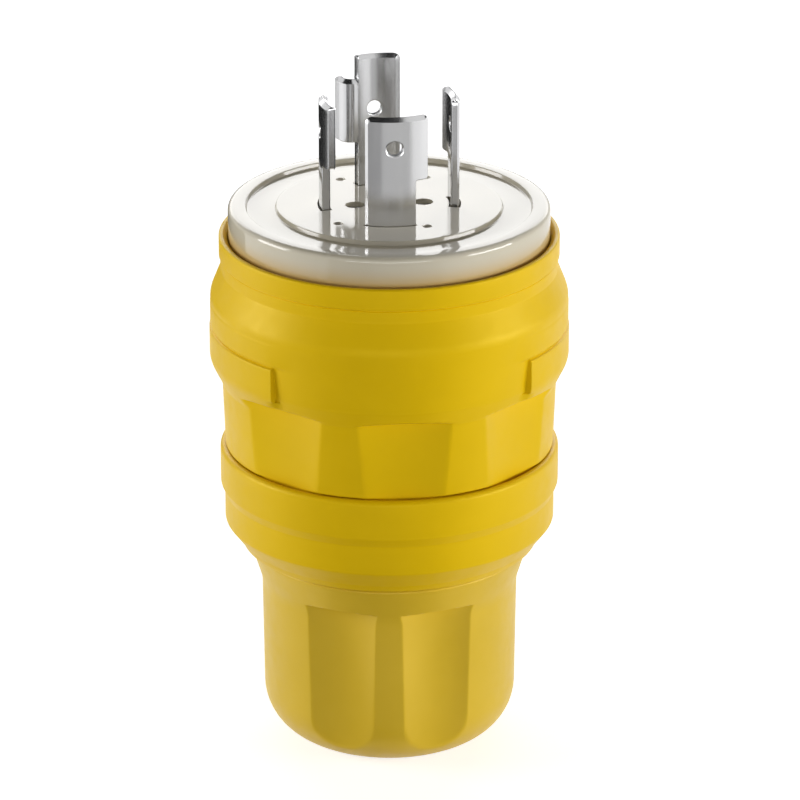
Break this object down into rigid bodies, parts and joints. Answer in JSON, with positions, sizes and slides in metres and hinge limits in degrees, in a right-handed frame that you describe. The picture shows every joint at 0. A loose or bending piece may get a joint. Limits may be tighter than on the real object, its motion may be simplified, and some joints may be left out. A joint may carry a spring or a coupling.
{
  "type": "locking power plug",
  "caption": "Watertight locking power plug with curved hooked blades, white face, yellow rubber jacket and a fluted gland nut for the cord.",
  "frame": {"origin": "centre of the gland nut's flat end, on which the plug stands", "axes": "+Z along the plug's axis, from the cord end to the blades; -Y is the side that the picture shows in front"},
  "size_m": [0.067, 0.0666, 0.1309],
  "materials": {
    "gland_nylon": "satin glass-filled nylon, mustard yellow",
    "washer_nylon": "smooth natural nylon",
    "seal_rubber": "soft black rubber",
    "housing_nylon": "black moulded nylon",
    "jacket_rubber": "satin yellow thermoplastic rubber",
    "face_nylon": "glossy white nylon",
    "block_plastic": "dark thermoset moulding",
    "plated_steel": "zinc plated steel",
    "plated_brass": "bright nickel plate over brass",
    "clamp_steel": "plated steel",
    "silver_screw": "silver coloured plated steel",
    "brass_screw": "bright brass",
    "green_screw": "green passivated steel"
  },
  "bodies": {
    "housing": {"cord_seal": "seal_rubber", "inner_housing": "housing_nylon", "rear_sleeve": "jacket_rubber", "front_jacket": "jacket_rubber", "face_plate": "face_nylon", "sealing_ring": "seal_rubber", "terminal_block": "block_plastic", "face_screws": "plated_steel", "housing_screws": "plated_steel", "neutral_blade": "plated_brass", "neutral_clamp": "clamp_steel", "neutral_screw": "silver_screw", "line_x_blade": "plated_brass", "line_x_clamp": "clamp_steel", "line_x_screw": "brass_screw", "line_y_blade": "plated_brass", "line_y_clamp": "clamp_steel", "line_y_screw": "brass_screw", "ground_blade": "plated_brass", "ground_clamp": "clamp_steel", "ground_screw": "green_screw"},
    "washer": {"slip_washer": "washer_nylon"},
    "nut": {"gland_nut": "gland_nylon"}
  },
  "joints": [
    {"name": "nut_travel", "type": "slide", "parent": "housing", "child": "washer", "axis": [0, 0, -1], "range_m": [0, 0.005]},
    {"name": "nut_turn", "type": "hinge", "parent": "washer", "child": "nut", "pos_m": [0, 0, 0], "axis": [0, 0, -1], "range_deg": [0, 900]}
  ],
  "couplings": [
    {"joint": "nut_travel", "follows": "nut_turn", "m_per_rad": 0.0003183}
  ]
}
